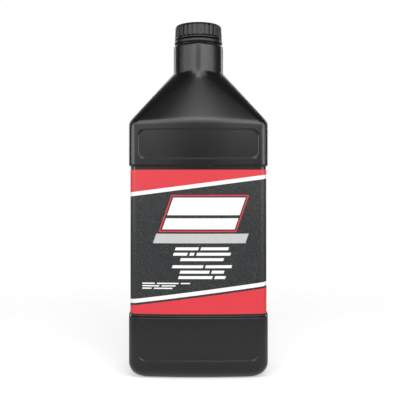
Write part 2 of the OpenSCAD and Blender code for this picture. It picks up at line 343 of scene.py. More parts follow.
class Skin:
    """A closed skin that grows ring by ring from a capped circle."""

    def __init__(self, rings: Sequence[Sequence[Vector]]) -> None:
        """Grows the skin.

        Args:
            rings: The rings from one end to the other, each with its points in the same order, in millimetres.
        """
        self.mesh = bmesh.new()
        station = self.mesh.verts.layers.int.new("station")
        made = bmesh.ops.create_circle(self.mesh, cap_ends=True, radius=1.0, segments=len(rings[0]))
        for index, vert in enumerate(made["verts"]):
            vert[station] = index
            vert.co = rings[0][index] * MM
        edges = list(self.mesh.edges)
        for ring in rings[1:]:
            grown = bmesh.ops.extrude_edge_only(self.mesh, edges=edges)["geom"]
            verts = [item for item in grown if isinstance(item, bmesh.types.BMVert)]
            fresh = set(verts)
            edges = [
                item for item in grown if isinstance(item, bmesh.types.BMEdge) and fresh.issuperset(item.verts)
            ]
            for vert in verts:
                vert.co = ring[vert[station]] * MM
        bmesh.ops.edgeloop_fill(self.mesh, edges=edges)
        bmesh.ops.recalc_face_normals(self.mesh, faces=self.mesh.faces)


def finish_piece(mesh: bmesh.types.BMesh, name: str, looks: Looks, body: Body, slot: Finish, nodes: Sequence[str],
                 sharp_deg: float = 50.0) -> bpy.types.Object:
    """Turns a bmesh into a smooth-shaded piece that rides on a body.

    Args:
        mesh: The finished bmesh, which is freed.
        name: The piece's name.
        looks: The material of each slot.
        body: The body that it moves with.
        slot: The record's material slot.
        nodes: CAD nodes that it stands for.
        sharp_deg: Edges that turn more than this stay sharp.

    Returns:
        The new object.
    """
    for face in mesh.faces:
        face.smooth = True
    for edge in mesh.edges:
        if len(edge.link_faces) == 2 and edge.calc_face_angle(0.0) > math.radians(sharp_deg):
            edge.smooth = False
    data = bpy.data.meshes.new(name)
    mesh.to_mesh(data)
    mesh.free()
    piece = bpy.data.objects.new(name, data)
    bpy.context.collection.objects.link(piece)
    data.materials.append(looks[slot])
    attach(piece, body.value)
    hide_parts(*nodes)
    LOG.info("%s: %d faces", name, len(data.polygons))
    return piece


@dataclass
class BlownBody:
    """The blow-moulded bottle with its collar, threaded neck and hollow inside."""

    sizes: BodySizes
    seam_in: float = 0.1
    seam_w: float = 0.5
    window_round: float = 0.7
    neck_clear: float = 0.01
    lip: float = 0.45
    wall_drop: float = 0.35

    @cached_property
    def stations(self) -> list[Station]:
        """The points round every ring, closer together where the sunk panels end and at the mould seam."""
        rim, dense = 0.02, 0.085
        end = spread(0, rim, 10) + spread(rim, dense, 9)
        face = end + spread(dense, 1 - dense, 22) + [1 - share for share in reversed(end[1:] + [dense])]
        corner = spread(0, 1, 24)
        side = spread(0, 0.44, 4) + spread(0.44, 0.56, 8) + spread(0.56, 1, 4)
        arcs = [face, corner, side, corner] * 2
        return [Station(arc, share) for arc, shares in enumerate(arcs) for share in shares]

    @cached_property
    def spans(self) -> tuple[float, float]:
        """Half the angles that a face and a side span."""
        return self.sizes.plan(0).spans()

    def windows(self) -> list[tuple[float, float]]:
        """Middle height and height of each sunk panel."""
        s = self.sizes
        return [
            (s.foot_h + s.lower_band_h * s.lower_window_at, s.lower_window_h),
            (s.panel_top + s.upper_band_h * s.upper_window_at, s.upper_window_h),
        ]

    def sunk(self, x: float, z: float) -> float:
        """How deep the sunk panels are at a point of a face.

        Args:
            x: The point's place across the face.
            z: The point's height.

        Returns:
            A depth in millimetres.
        """
        s = self.sizes
        depth = 0.0
        for middle, height in self.windows():
            across = abs(x) - s.window_w / 2 + s.window_r
            along = abs(z - middle) - height / 2 + s.window_r
            outside = math.hypot(max(across, 0), max(along, 0)) + min(max(across, along), 0) - s.window_r
            depth += s.window_in * (1 - smoothstep(-self.window_round / 2, self.window_round / 2, outside))
        return depth

    def panel_step(self, z: float) -> float:
        """How far the label panel is set in at a height."""
        s = self.sizes
        low = smoothstep(s.lower_top - s.lower_ledge_h / 2, s.lower_top + s.lower_ledge_h / 2, z)
        high = smoothstep(s.panel_top - s.upper_ledge_h / 2, s.panel_top + s.upper_ledge_h / 2, z)
        return s.panel_in * (low - high)

    def side_levels(self) -> list[float]:
        """Heights of the rings up the bands and the label panel."""
        s = self.sizes
        levels: list[float] = []
        at = s.foot_h
        for middle, height in self.windows():
            ledge = s.lower_top if middle < s.lower_top else s.edge - s.edge_fall - s.edge_round
            for edge, inward in ((middle - height / 2, 1), (middle + height / 2, -1)):
                low, high = sorted((edge - inward * 0.5, edge + inward * s.window_r))
                levels += spread(at, low, max(2, round((low - at) / 3)))
                rim = 1.0 if inward > 0 else s.window_r - 0.5
                levels += spread(low, low + rim, 10) + spread(low + rim, high, 10)
                at = high
            if ledge == s.lower_top:
                levels += spread(at, s.lower_top - 1, 3) + spread(s.lower_top - 1, s.lower_top + 1, 9)
                levels += spread(s.lower_top + 1, s.panel_top - 1, 18)
                levels += spread(s.panel_top - 1, s.panel_top + 1, 9)
                at = s.panel_top + 1
        return levels + spread(at, s.edge - s.edge_fall - s.edge_round - 0.5, 4)

    def base_rings(self, wall: float, steps: int) -> Rings:
        """Rings of the base and the foot.

        Args:
            wall: 0 for the outside, or the wall's thickness for the inside.
            steps: How many rings the foot's turn has.

        Returns:
            The rings from the middle of the base outwards.
        """
        s = self.sizes
        rise = s.foot_in + s.stand_w
        levels = [(rise + s.push_w * t, wall + s.push_h * smoothstep(0, 1, t)) for t in (1.6, 1.0, 0.8, 0.6, 0.4, 0.2)]
        levels.append((rise, wall))
        power = 2 / s.foot_power
        for sine, cosine in quarter(steps)[:-1]:
            levels.append((
                wall + (s.foot_in - wall) * (1 - sine**power), wall + (s.foot_h - wall) * (1 - cosine**power)
            ))
        return [
            [p + Vector((0, 0, z)) for p in s.foot_plan(inset, wall).points(self.stations)] for inset, z in levels
        ]

    def wall_rings(self) -> Rings:
        """Rings up the outside of the bands and the label panel, with the sunk panels and the mould seam."""
        rings = []
        for z in self.side_levels():
            ring = []
            plan = self.sizes.plan(self.panel_step(z))
            for station, point in zip(self.stations, plan.points(self.stations, self.spans)):
                if station.arc in (2, 6):
                    groove = self.seam_in * (1 - smoothstep(0, self.seam_w / 2, abs(point.y)))
                    point.x -= math.copysign(groove, point.x)
                else:
                    point.y -= math.copysign(self.sunk(point.x, z), point.y)
                ring.append(point + Vector((0, 0, z)))
            rings.append(ring)
        return rings

    def shoulder_rings(self, wall: float, fine: int) -> Rings:
        """Rings over the rounded shoulder edge and up the ruled shoulder to the collar.

        Args:
            wall: 0 for the outside, or the wall's thickness for the inside.
            fine: How many rings each stretch has.

        Returns:
            The rings from the edge upwards.
        """
        s = self.sizes
        drop = self.wall_drop * wall
        radius = s.collar_r - (s.collar_wall if wall else 0)
        round_plan = Plan(2 * radius, 2 * radius, radius, radius, radius)
        low = s.plan(wall).points(self.stations, self.spans)
        high = round_plan.points(self.stations, self.spans)
        edges = []
        for a, b in zip(low, high):
            edge = a + Vector((0, 0, s.edge - drop - s.edge_fall * (2 * a.x / s.width) ** 2))
            top = b + Vector((0, 0, s.collar - drop - s.collar_sink - s.collar_fall * (b.y / radius) ** 2))
            lean = (top - edge).normalized()
            ease = 0.5 + 3.5 * smoothstep(0.75, 1.0, abs(b.y) / radius)
            edges.append((edge, top, lean, ease))
        size, up = s.edge_round, Vector((0, 0, 1))
        steps = [i / fine for i in range(fine + 1)]
        rings = [[bezier(e - up * size, e, e + n * size, t) for e, _, n, _ in edges] for t in steps[:-1]]
        rings += [[mix(e + n * size, o - n * k, t) for e, o, n, k in edges] for t in steps[:-1]]
        return rings + [[bezier(o - n * k, o, o + up * k, t) for _, o, n, k in edges] for t in steps]

    def round_rings(self, profile: Profile) -> Rings:
        """Round rings, with the thread where the profile runs up the neck.

        Args:
            profile: Radius and height of each ring.

        Returns:
            The rings in the profile's order.
        """
        s = self.sizes
        unit = Plan(2, 2, 1, 1, 1).points(self.stations, self.spans)
        rings = []
        for radius, z in profile:
            threaded = abs(radius - s.neck_r) < 1e-6
            ring = []
            for point in unit:
                r = radius
                if threaded:
                    angle = math.atan2(point.y, point.x)
                    r += s.thread_out * thread_height(angle, z, s.thread_low, (0, s.thread_turns), s)
                ring.append(Vector((point.x * r, point.y * r, z)))
            rings.append(ring)
        return rings

    def neck_profile(self) -> Profile:
        """Radius and height up the outside of the collar and the neck, over the lip."""
        s = self.sizes
        profile = [(s.collar_r, z) for z in spread(s.collar + 5, s.collar_top - s.collar_round, 5)]
        profile += [(s.collar_r - s.collar_round * (1 - cosine), s.collar_top - s.collar_round * (1 - sine))
                    for sine, cosine in quarter(8)]
        root = s.neck_r + self.neck_clear
        bead = s.collar_top + s.bead_low
        profile += [(s.neck_r + 0.6, s.collar_top), (s.neck_r + 0.15, s.collar_top + 0.1),
                    (root, s.collar_top + 0.4), (root, bead - 0.1)]
        for i in range(9):
            turn = math.pi * i / 8
            profile.append((root + s.bead_out * math.sin(turn) ** 0.7, bead + s.bead_h * (1 - math.cos(turn)) / 2))
        profile += [(s.neck_r, z) for z in spread(bead + s.bead_h + 0.05, s.mouth - self.lip, 34)]
        outer = s.neck_r - 0.001
        turn = [(self.lip * (1 - sine), self.lip * (1 - cosine)) for sine, cosine in quarter(5)]
        profile += [(outer - across, s.mouth - down) for down, across in turn]
        return profile + [(s.mouth_r + across, s.mouth - down) for across, down in turn]

    def bore_profile(self) -> Profile:
        """Radius and height down the inside of the neck and the collar."""
        s = self.sizes
        hollow = s.collar_r - s.collar_wall
        turn_z, turn_h = s.collar_top - s.wall + 0.6, 3.2
        return [(s.mouth_r, z) for z in (s.mouth - 4, s.mouth - 8, turn_z)] + [
            (s.mouth_r + (hollow - s.mouth_r) * smoothstep(0, 1, t), turn_z - turn_h * t)
            for t in (0.15, 0.3, 0.45, 0.6, 0.75, 0.9, 1.0)
        ] + [(hollow, z) for z in (s.collar_top - 9, s.collar + 5)]

    def inner_rings(self) -> Rings:
        """Rings up the inside of the body, from the base to the shoulder."""
        s = self.sizes
        rings = self.base_rings(s.wall, 6)
        ledges = [ledge + off for ledge in (s.lower_top, s.panel_top) for off in (-1, -0.4, 0, 0.4, 1)]
        for z in [s.foot_h] + ledges + [s.edge - 6]:
            plan = s.plan(s.wall + self.panel_step(z))
            rings.append([p + Vector((0, 0, z)) for p in plan.points(self.stations, self.spans)])
        return rings + self.shoulder_rings(s.wall, 3)

    def build(self, looks: Looks) -> bpy.types.Object:
        """Makes the bottle as one closed skin, outside and inside."""
        rings = self.base_rings(0.0, 14) + self.wall_rings() + self.shoulder_rings(0.0, 10)
        rings += self.round_rings(self.neck_profile() + self.bore_profile())
        rings += reversed(self.inner_rings())
        mesh = Skin(rings).mesh
        return finish_piece(mesh, "bottle_skin", looks, Body.BOTTLE, Finish.BODY, ["bottle"])


@dataclass
class ScrewCap:
    """The ribbed cap with its plain rim, rounded crown and inner thread."""

    body: BodySizes
    skirt_t: float = 1.55
    skirt_gap: float = 0.3
    draft: float = 0.35
    rib_out: float = 0.5
    rib_count: int = 30
    rim_h: float = 1.5
    top_t: float = 1.4
    crown_h: float = 2.3
    crown_w: float = 3.2
    liner_t: float = 1.0
    ring_h: float = 3.2
    ring_gap: float = 0.5
    thread_clear: float = 0.25
    flank_gap: float = 0.15
    thread_end: float = 1.6
    points_per_rib: int = 10
    rib_depth: float = 0.75
    rib_flat: float = 0.12
    rib_groove: float = 0.42
    dome: float = 0.12

    @property
    def low(self) -> float:
        """Height of the cap's rim."""
        return self.body.collar_top + self.ring_h + self.ring_gap

    @property
    def top(self) -> float:
        """Height of the cap's top."""
        return self.body.mouth + self.liner_t + self.top_t

    @property
    def inner_r(self) -> float:
        """Radius of the inside of the skirt."""
        return self.body.neck_r + self.body.thread_out + self.skirt_gap

    @property
    def rim_r(self) -> float:
        """Radius of the plain rim and of the ribs at their foot."""
        return self.inner_r + self.skirt_t + self.rib_out

    def rib(self, angle: float) -> float:
        """How much of its full height a rib has in a direction: 1 on its flat, 0 in the groove."""
        phase = (angle + math.pi / 2) * self.rib_count / math.tau
        off = abs(phase - round(phase))
        return 1 - self.rib_depth * smoothstep(self.rib_flat, self.rib_groove, off)

    def outer_profile(self) -> list[tuple[float, float, float]]:
        """Radius, height and share of the ribs down the outside, from the middle of the top to the rim."""
        crown = self.top - self.crown_h
        flat = self.rim_r - self.draft - self.crown_w
        profile = [(flat * t, self.top - self.dome * t**2, 0.0) for t in (0.3, 0.6, 0.85, 1.0)]
        for i, (sine, cosine) in list(enumerate(quarter(12)))[1:]:
            z = crown + self.crown_h * cosine - self.dome * (1 - i / 12)
            profile.append((flat + self.crown_w * sine, z, smoothstep(0.62, 0.95, sine)))
        foot = self.low + self.rim_h
        for z in spread(crown, foot + 0.5, 10)[1:]:
            t = (crown - z) / (crown - self.low)
            profile.append((self.rim_r - self.draft * (1 - t), z, 1.0))
        for i in range(7):
            profile.append((self.rim_r - 0.03, foot + 0.5 - 0.6 * i / 6, 1 - smoothstep(0, 1, i / 6)))
        for i in range(5):
            out = self.rib_out * (1 - smoothstep(0, 1, i / 4))
            profile.append((self.rim_r - out, foot - 0.1 - 0.45 * i / 4, -1.0))
        profile += [(self.rim_r, self.low + 0.4, -1.0), (self.rim_r - 0.08, self.low + 0.15, -1.0),
                    (self.rim_r - 0.35, self.low, -1.0)]
        return profile

    def build(self, looks: Looks) -> bpy.types.Object:
        """Makes the cap as one closed skin, outside and inside."""
        count = self.rib_count * self.points_per_rib
        angles = [math.tau * i / count - math.pi / 2 for i in range(count)]
        rings = []
        for radius, z, share in self.outer_profile():
            ring = []
            for angle in angles:
                r = radius - (self.rib_out * share * (1 - self.rib(angle)) if share >= 0 else 0)
                if 0 <= share < 1 and z < self.low + self.rim_h + 0.6:
                    r = self.rim_r - self.rib_out + self.rib_out * share * self.rib(angle) - 0.02
                ring.append(Vector((r * math.cos(angle), r * math.sin(angle), z)))
            rings.append(ring)
        b = self.body
        crest_r = b.neck_r + self.thread_clear
        slope = b.thread_flank / 2 / b.thread_out
        apart = b.thread_crest + slope * (b.neck_r + b.thread_out - crest_r) + self.flank_gap
        thread_z = b.thread_low - apart
        turns = (
            (self.low + self.thread_end - thread_z) / b.pitch,
            (b.mouth - self.thread_end - thread_z) / b.pitch,
        )
        deck = b.mouth + self.liner_t
        inner = [(self.inner_r + 0.3, self.low), (self.inner_r, self.low + 0.3)]
        inner += [(self.inner_r, z) for z in spread(self.low + 0.6, deck - 0.8, 30)]
        inner += [(self.inner_r - 0.05, deck - 0.4), (self.inner_r - 0.1, deck - 0.1), (self.inner_r - 0.4, deck),
                  (self.inner_r * 0.5, deck)]
        for radius, z in inner:
            ring = []
            for angle in angles:
                r = radius
                if r == self.inner_r:
                    r -= (self.inner_r - crest_r) * thread_height(angle, z, thread_z, turns, b)
                ring.append(Vector((r * math.cos(angle), r * math.sin(angle), z)))
            rings.append(ring)
        return finish_piece(Skin(rings).mesh, "cap_shell", looks, Body.CAP, Finish.CAP, ["cap"], 35.0)


@dataclass
class BrokenRing:
    """The ring that the cap's band leaves on the neck, hooked under the bead."""

    body: BodySizes
    outer_r: float = 16.4
    height: float = 3.2
    hook_t: float = 1.6
    foot: float = 0.4
    segments: int = 160

    def build(self, looks: Looks) -> bpy.types.Object:
        """Spins the ring's section round the neck and rounds its edges."""
        b = self.body
        low = b.collar_top
        bead_r = b.neck_r + b.bead_out
        section = [
            (bead_r - 0.5, low), (bead_r + self.foot, low), (bead_r + self.foot, low + 0.6),
            (self.outer_r - 0.3, low + 0.8), (self.outer_r, low + 1.2), (self.outer_r, low + self.height - 0.5),
            (self.outer_r - 0.4, low + self.height), (bead_r + 0.3, low + self.height),
            (bead_r + 0.3, low + self.hook_t + 0.2), (bead_r - 0.5, low + self.hook_t - 0.2),
        ]
        mesh = bmesh.new()
        verts = [mesh.verts.new((r * MM, 0, z * MM)) for r, z in section]
        face = mesh.faces.new(verts)
        bmesh.ops.bevel(mesh, geom=verts, offset=0.15 * MM, affect="VERTICES", segments=3, profile=0.5, material=-1,
                        offset_type="OFFSET", clamp_overlap=True)
        edges = list(mesh.edges)
        bmesh.ops.delete(mesh, geom=[face] if face.is_valid else list(mesh.faces), context="FACES_ONLY")
        bmesh.ops.spin(mesh, geom=edges, cent=(0, 0, 0), axis=(0, 0, 1), angle=math.tau, steps=self.segments,
                       use_merge=True)
        bmesh.ops.remove_doubles(mesh, verts=mesh.verts, dist=1e-6)
        bmesh.ops.recalc_face_normals(mesh, faces=mesh.faces)
        return finish_piece(mesh, "tamper_band", looks, Body.BOTTLE, Finish.CAP, ["tamper_ring"], 60.0)


@dataclass(frozen=True)
class Outline:
    """A convex printed shape in the plane of the front, as points of width and height in millimetres."""

    points: tuple[tuple[float, float], ...]
    all_round: bool = False

    @staticmethod
    def bar(x: float, z: float, width: float, height: float) -> "Outline":
        """A slanted bar with its lower left corner at x, z."""
        shift = BAR_LEAN * height
        return Outline(((x, z), (x + width, z), (x + width + shift, z + height), (x + shift, z + height)))

    @staticmethod
    def frame(x: float, z: float, width: float, height: float, gap: float, thick: float) -> "list[Outline]":
        """The four sides of a thin frame round a slanted bar.

        Args:
            x: The bar's lower left corner across the front.
            z: The bar's lower left corner in height.
            width: The bar's width.
            height: The bar's height.
            gap: The bare line between the bar and the frame.
            thick: The frame's thickness.

        Returns:
            Its lower, upper, left and right sides.
        """
        def grown(by: float) -> "Outline":
            return Outline.bar(x - by * 1.4, z - by, width + 2 * by, height + 2 * by)

        def on(low: tuple[float, float], high: tuple[float, float], level: float) -> tuple[float, float]:
            return low[0] + (high[0] - low[0]) * (level - low[1]) / (high[1] - low[1]), level

        a, b, c, d = grown(gap + thick).points
        e, f, g, h = grown(gap).points
        left_low, right_low = on(a, d, e[1]), on(b, c, e[1])
        left_high, right_high = on(a, d, h[1]), on(b, c, h[1])
        return [
            Outline((a, b, right_low, left_low)), Outline((left_high, right_high, c, d)),
            Outline((left_low, e, h, left_high)), Outline((f, right_low, right_high, g)),
        ]

    @staticmethod
    def stripe(z: float, width: float, slope: float, reach: float) -> "Outline":
        """A stripe that climbs to the right all round the label, from z at the middle."""
        rise = slope * reach
        return Outline(
            ((-reach, z - rise), (reach, z + rise), (reach, z + rise + width), (-reach, z - rise + width)), True
        )


@dataclass
class Label:
    """The film wrapped round the label panel, and the fields of colour printed on it."""

    sizes: BodySizes
    slope: float = 0.13
    stripe_w: float = 2.6
    stripe_gap: float = 1.4
    head: float = 9.0
    foot: float = 11.0
    plate_x: float = -23.5
    plate_up: float = 55.0
    plate_w: float = 47.0
    plate_low_h: float = 7.2
    plate_gap: float = 2.0
    plate_high_h: float = 11.4
    frame_gap: float = 0.9
    frame_t: float = 0.8
    strip_x: float = -29.5
    strip_down: float = 9.0
    strip_w: float = 60.0
    strip_h: float = 6.2
    row_x: float = 2.0
    row_h: float = 1.9
    dash_gap: float = 1.5
    row_downs: tuple[float, ...] = (2.6, 6.1, 9.6, 14.2, 17.7, 21.2)
    row_dashes: tuple[tuple[float, ...], ...] = ((15, 18), (9, 3, 22), (28,), (20, 17), (19, 8), (22, 7))
    margin: float = 1.0
    strip_tall: float = 6.0
    past: float = 5.0
    fine_x: float = -36.5
    fine_h: float = 0.8
    fine_downs: tuple[float, ...] = (25.6, 27.2, 28.8)
    fine_dashes: tuple[tuple[float, ...], ...] = ((8, 14, 6), (11, 9), (6, 12))

    def stations(self) -> list[Station]:
        """The points along the film, from one end at the back round to the other."""
        arcs = [spread(0, 1, 16), spread(0, 1, 14), spread(0, 1, 8), spread(0, 1, 14)] * 2
        ring = [Station(arc, share) for arc, shares in enumerate(arcs) for share in shares]
        start = next(i for i, item in enumerate(ring) if item.arc == 4 and item.share >= 0.5)
        return ring[start:] + ring[:start] + [ring[start]]

    def sheet(self, inset: float, low: float, high: float, levels: int) -> bmesh.types.BMesh:
        """An open sheet round the label panel.

        Args:
            inset: How far the sheet is set in from the bands, in millimetres.
            low: Height of its lower edge.
            high: Height of its upper edge.
            levels: How many strips it has from its lower edge to its upper one.

        Returns:
            The sheet as a new bmesh, its ends half the seam apart.
        """
        s = self.sizes
        points = s.plan(inset).points(self.stations(), s.plan(0).spans())
        points[0] = points[0] - Vector((s.seam_w / 2, 0, 0))
        points[-1] = points[-1] + Vector((s.seam_w / 2, 0, 0))
        mesh = bmesh.new()
        bmesh.ops.create_grid(mesh, x_segments=len(points) - 1, y_segments=levels, size=1.0)
        for vert in mesh.verts:
            along = round((vert.co.x + 1) / 2 * (len(points) - 1))
            up = (vert.co.y + 1) / 2
            vert.co = (points[along] + Vector((0, 0, low + (high - low) * up))) * MM
        return mesh

    @staticmethod
    def thicken(mesh: bmesh.types.BMesh, thickness: float) -> None:
        """Gives a sheet its thickness, outwards from the bottle."""
        bmesh.ops.recalc_face_normals(mesh, faces=mesh.faces)
        middle = max(mesh.faces, key=lambda face: abs(face.calc_center_median().y))
        outward = middle.calc_center_median().y * middle.normal.y > 0
        if not outward:
            bmesh.ops.reverse_faces(mesh, faces=mesh.faces)
        bmesh.ops.solidify(mesh, geom=list(mesh.faces), thickness=thickness * MM)
        bmesh.ops.recalc_face_normals(mesh, faces=mesh.faces)

    def film(self, looks: Looks) -> bpy.types.Object:
        """Makes the film itself."""
        s = self.sizes
        mesh = self.sheet(s.panel_in - s.label_t, s.label_low, s.label_top, 12)
        self.thicken(mesh, s.label_t)
        return finish_piece(mesh, "label_wrap", looks, Body.BOTTLE, Finish.FILM, ["label"])

    def field(self, outline: Outline) -> bmesh.types.BMesh:
        """Cuts one printed shape out of a sheet that lies on the film.

        Args:
            outline: The shape.

        Returns:
            The cut sheet, still without thickness.
        """
        s = self.sizes
        heights = [z for _, z in outline.points]
        low = max(s.label_low, min(heights) - self.margin)
        high = min(s.label_top, max(heights) + self.margin)
        mesh = self.sheet(s.panel_in - s.label_t - s.ink_t, low, high, max(1, round((high - low) / self.strip_tall)))
        cuts = []
        count = len(outline.points)
        for i in range(count):
            (x0, z0), (x1, z1) = outline.points[i], outline.points[(i + 1) % count]
            cuts.append((Vector((x0, 0, z0)), Vector((z1 - z0, 0, x0 - x1))))
        if not outline.all_round:
            cuts.append((Vector((0, -s.depth / 4, 0)), Vector((0, 1, 0))))
        for point, normal in cuts:
            geometry = list(mesh.verts) + list(mesh.edges) + list(mesh.faces)
            bmesh.ops.bisect_plane(mesh, geom=geometry, plane_co=point * MM, plane_no=normal.normalized(),
                                   clear_outer=True, dist=1e-7)
        return mesh

    def print_fields(self, name: str, outlines: Sequence[Outline], looks: Looks, slot: Finish,
                     nodes: Sequence[str]) -> bpy.types.Object:
        """Makes one piece of all the shapes printed in one ink.

        Args:
            name: The piece's name.
            outlines: The shapes.
            looks: The material of each slot.
            slot: The record's material slot.
            nodes: CAD nodes that the piece stands for.

        Returns:
            The new object.
        """
        whole = bmesh.new()
        for outline in outlines:
            part = self.field(outline)
            self.thicken(part, self.sizes.ink_t)
            data = bpy.data.meshes.new("field")
            part.to_mesh(data)
            part.free()
            whole.from_mesh(data)
            bpy.data.meshes.remove(data)
        return finish_piece(whole, name, looks, Body.BOTTLE, slot, nodes)

    def build(self, looks: Looks) -> None:
        """Makes the film and its printed fields."""
        s = self.sizes
        reach = s.width
        head = s.label_top - self.head
        foot = s.label_low + self.foot
        plate_z = s.label_low + self.plate_up
        strip_z = plate_z - self.strip_down
        rise = self.slope * reach
        high, low = s.label_top + rise + self.past, s.label_low - rise - self.past
        tall = self.plate_low_h + self.plate_gap + self.plate_high_h
        self.film(looks)
        reds = [
            Outline(((-reach, head - rise), (reach, head + rise), (reach, high), (-reach, high)), True),
            Outline(((-reach, low), (reach, low), (reach, foot + rise), (-reach, foot - rise)), True),
        ] + Outline.frame(self.plate_x, plate_z, self.plate_w, tall, self.frame_gap, self.frame_t)
        upper = self.plate_low_h + self.plate_gap
        whites = [
            Outline.stripe(head - self.stripe_w, self.stripe_w, self.slope, reach),
            Outline.stripe(foot + self.stripe_gap, self.stripe_w, self.slope, reach),
            Outline.bar(self.plate_x, plate_z, self.plate_w, self.plate_low_h),
            Outline.bar(self.plate_x + BAR_LEAN * upper, plate_z + upper, self.plate_w, self.plate_high_h),
        ]
        for down, lengths in zip(self.row_downs, self.row_dashes):
            width = sum(lengths) + self.dash_gap * (len(lengths) - 1)
            whites += self.dashes(self.row_x - width / 2, strip_z - down, lengths, self.row_h)
        for down, lengths in zip(self.fine_downs, self.fine_dashes):
            whites += self.dashes(self.fine_x, strip_z - down, lengths, self.fine_h)
        silvers = [Outline.bar(self.strip_x, strip_z, self.strip_w, self.strip_h)]
        self.print_fields("print_red", reds, looks, Finish.RED, ["label_red_print"])
        self.print_fields("print_white", whites, looks, Finish.WHITE, ["label_white_print"])
        self.print_fields("print_silver", silvers, looks, Finish.SILVER, ["label_silver_print"])

    def dashes(self, x: float, z: float, lengths: Sequence[float], height: float) -> list[Outline]:
        """A row of slanted dashes.

        Args:
            x: Where the row starts.
            z: The row's top.
            lengths: The dashes' lengths.
            height: Their height.

        Returns:
            The dashes' shapes.
        """
        starts = [x + sum(lengths[:i]) + self.dash_gap * i for i in range(len(lengths))]
        return [Outline.bar(start, z - height, length, height) for start, length in zip(starts, lengths)]


class Nodes:
    """Short calls for building one node tree."""

    def __init__(self, tree: bpy.types.NodeTree) -> None:
        """Keeps the tree that the nodes go into."""
        self.tree = tree

    @classmethod
    def of(cls, owner: bpy.types.Material | bpy.types.World) -> "Nodes":
        """Empties the node tree of a material or a world."""
        owner.use_nodes = True
        owner.node_tree.nodes.clear()
        return cls(owner.node_tree)

    def add(self, kind: str, sockets: dict[int | str, object] | None = None, **settings: object) -> bpy.types.Node:
        """Adds a node.

        Args:
            kind: The node's type name.
            sockets: Its inputs by name or number, each with a value or the output that it is joined to.
            settings: Its properties.

        Returns:
            The new node.
        """
        node = self.tree.nodes.new(kind)
        for key, value in settings.items():
            setattr(node, key, value)
        for key, value in (sockets or {}).items():
            if isinstance(value, bpy.types.NodeSocket):
                self.tree.links.new(value, node.inputs[key])
            else:
                node.inputs[key].default_value = value
        return node


def grain_group() -> bpy.types.ShaderNodeTree:
    """The shared grain of moulded plastic and film: a height and a mask of fine specks.

    Returns:
        A node group with Scale and Coarse inputs and Height and Specks outputs.
    """
    group = bpy.data.node_groups.new("moulded_grain", "ShaderNodeTree")
    for way, names in (("INPUT", ("Scale", "Coarse")), ("OUTPUT", ("Height", "Specks"))):
        for name in names:
            group.interface.new_socket(name, in_out=way, socket_type="NodeSocketFloat")
    nodes = Nodes(group)
    given = nodes.add("NodeGroupInput").outputs
    place = nodes.add("ShaderNodeTexCoord").outputs["Object"]
    fine = nodes.add(
        "ShaderNodeTexNoise", {"Vector": place, "Scale": given["Scale"], "Detail": 3.0, "Roughness": 0.6}
    ).outputs["Fac"]
    swell = nodes.add("ShaderNodeTexNoise", {"Vector": place, "Scale": 45.0, "Detail": 1.0}).outputs["Fac"]
    both = nodes.add("ShaderNodeMath", {0: swell, 1: given["Coarse"], 2: fine}, operation="MULTIPLY_ADD")
    specks = nodes.add("ShaderNodeMapRange", {"Value": fine, "From Min": 0.5, "From Max": 0.72})
    nodes.add("NodeGroupOutput", {"Height": both.outputs["Value"], "Specks": specks.outputs["Result"]})
    return group


@dataclass(frozen=True)
class Surface:
    """One finish.

    Attributes:
        name: The material's name.
        colour: Its linear base colour.
        light: The colour of its specks or its uneven lighter parts.
        roughness: How rough it is.
        grain_scale: Scale of its fine grain.
        grain_depth: Depth of the grain, in metres.
        coarse: Share of slow unevenness in the grain's height.
        specks: How strongly the lighter colour shows, from 0 to 1.
        swing: How far the grain moves the roughness either way.
    """

    name: str
    colour: tuple[float, float, float]
    light: tuple[float, float, float]
    roughness: float
    grain_scale: float
    grain_depth: float
    coarse: float
    specks: float
    swing: float = 0.05

    def build(self, grain: bpy.types.ShaderNodeTree) -> bpy.types.Material:
        """Makes the material.

        Args:
            grain: The shared grain group.

        Returns:
            The new material.
        """
        material = bpy.data.materials.new(self.name)
        nodes = Nodes.of(material)
        group = nodes.add("ShaderNodeGroup", {"Scale": self.grain_scale, "Coarse": self.coarse}, node_tree=grain)
        height = group.outputs["Height"]
        bump = nodes.add("ShaderNodeBump", {"Strength": 1.0, "Distance": self.grain_depth, "Height": height})
        share = nodes.add("ShaderNodeMath", {0: group.outputs["Specks"], 1: self.specks}, operation="MULTIPLY")
        blend = nodes.add("ShaderNodeMix", {
            "Factor": share.outputs["Value"], 6: (*self.colour, 1), 7: (*self.light, 1),
        }, data_type="RGBA")
        rough = nodes.add("ShaderNodeMapRange", {
            "Value": height, "To Min": self.roughness - self.swing, "To Max": self.roughness + self.swing,
        })
        shader = nodes.add("ShaderNodeBsdfPrincipled", {
            "Base Color": blend.outputs[2], "Roughness": rough.outputs["Result"], "Normal": bump.outputs["Normal"],
        })
        nodes.add("ShaderNodeOutputMaterial", {"Surface": shader.outputs["BSDF"]})
        return material


